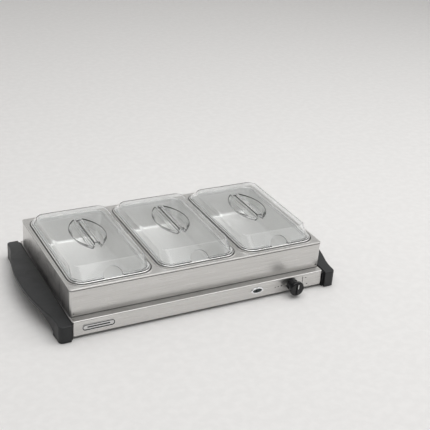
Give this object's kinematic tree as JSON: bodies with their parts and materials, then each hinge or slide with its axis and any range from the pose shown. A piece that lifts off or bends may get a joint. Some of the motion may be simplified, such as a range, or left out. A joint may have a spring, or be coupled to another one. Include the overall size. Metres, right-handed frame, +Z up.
{
  "type": "electric buffet server",
  "caption": "Electric warming tray with black end handles and a dial thermostat, under a lift-off stainless buffet frame that holds deep pans with clear notched lids.",
  "frame": {"origin": "on the table under the middle of the overall depth, centred left to right", "axes": "+X to the right along the long side, +Y to the back, away from the control knob, +Z up"},
  "size_m": [0.6354, 0.364, 0.1239],
  "materials": {
    "brushed_stainless": "brushed along the length",
    "pan_stainless": "satin pressed",
    "galvanised_steel": "galvanised",
    "zinc_screws": "zinc plated",
    "chrome_trim": "polished",
    "aluminium_plate": "mill finish",
    "brass_parts": "plain",
    "element_sheath": "heat darkened",
    "mineral_felt": "needled felt",
    "ceramic": "glazed",
    "badge_finish": "satin with dark border",
    "black_moulding": "fine texture",
    "black_gloss": "gloss",
    "white_marking": "printed",
    "rubber": "matt",
    "tinted_lens": "translucent",
    "lamp_glass": "clear",
    "clear_plastic": "clear",
    "wire_brown": "silicone",
    "wire_black": "silicone",
    "wire_blue": "silicone",
    "wire_green": "silicone"
  },
  "bodies": {
    "warming_base": {"tray_top": "brushed_stainless", "bottom_cover": "galvanised_steel", "cover_screws": "zinc_screws", "rubber_feet": "rubber", "foot_screws": "zinc_screws", "heat_spreader": "aluminium_plate", "heating_element": "element_sheath", "insulation_pad": "mineral_felt", "reflector_plate": "galvanised_steel", "spreader_studs": "zinc_screws", "reflector_nuts": "zinc_screws", "thermostat_body": "ceramic", "thermostat_bracket": "galvanised_steel", "thermostat_screws": "zinc_screws", "thermal_fuse": "brass_parts", "fuse_clip": "galvanised_steel", "indicator_lamp": "lamp_glass", "lamp_clip": "galvanised_steel", "terminal_block": "ceramic", "terminal_screws": "brass_parts", "earth_screw": "brass_parts", "wire_live": "wire_brown", "wire_switched": "wire_black", "wire_neutral": "wire_blue", "wire_earth": "wire_green", "lamp_leads": "wire_black", "indicator_lens": "tinted_lens", "indicator_bezel": "chrome_trim", "badge_plate": "badge_finish", "cord_gland": "black_moulding", "right_handle": "black_moulding", "left_handle": "black_moulding", "handle_screws": "zinc_screws"},
    "control_knob": {"control_knob": "black_gloss", "pointer_insert": "white_marking", "knob_clip": "galvanised_steel", "thermostat_shaft": "zinc_screws"},
    "buffet_frame": {"buffet_frame": "brushed_stainless"},
    "pan_left": {"pan_left": "pan_stainless"},
    "lid_left": {"lid_left": "clear_plastic"},
    "pan_centre": {"pan_centre": "pan_stainless"},
    "lid_centre": {"lid_centre": "clear_plastic"},
    "pan_right": {"pan_right": "pan_stainless"},
    "lid_right": {"lid_right": "clear_plastic"}
  },
  "joints": [
    {"name": "knob_turn", "type": "hinge", "parent": "warming_base", "child": "control_knob", "pos_m": [0.1945, -0.15515, 0.0205], "axis": [0, 1, 0], "range_deg": [0, 270]},
    {"name": "frame_lift", "type": "slide", "parent": "warming_base", "child": "buffet_frame", "axis": [0, 0, 1], "range_m": [0, 0.12]},
    {"name": "pan_left_lift", "type": "slide", "parent": "buffet_frame", "child": "pan_left", "axis": [0, 0, 1], "range_m": [0, 0.11]},
    {"name": "lid_left_lift", "type": "slide", "parent": "pan_left", "child": "lid_left", "axis": [0, 0, 1], "range_m": [0, 0.08]},
    {"name": "pan_centre_lift", "type": "slide", "parent": "buffet_frame", "child": "pan_centre", "axis": [0, 0, 1], "range_m": [0, 0.11]},
    {"name": "lid_centre_lift", "type": "slide", "parent": "pan_centre", "child": "lid_centre", "axis": [0, 0, 1], "range_m": [0, 0.08]},
    {"name": "pan_right_lift", "type": "slide", "parent": "buffet_frame", "child": "pan_right", "axis": [0, 0, 1], "range_m": [0, 0.11]},
    {"name": "lid_right_lift", "type": "slide", "parent": "pan_right", "child": "lid_right", "axis": [0, 0, 1], "range_m": [0, 0.08]}
  ]
}
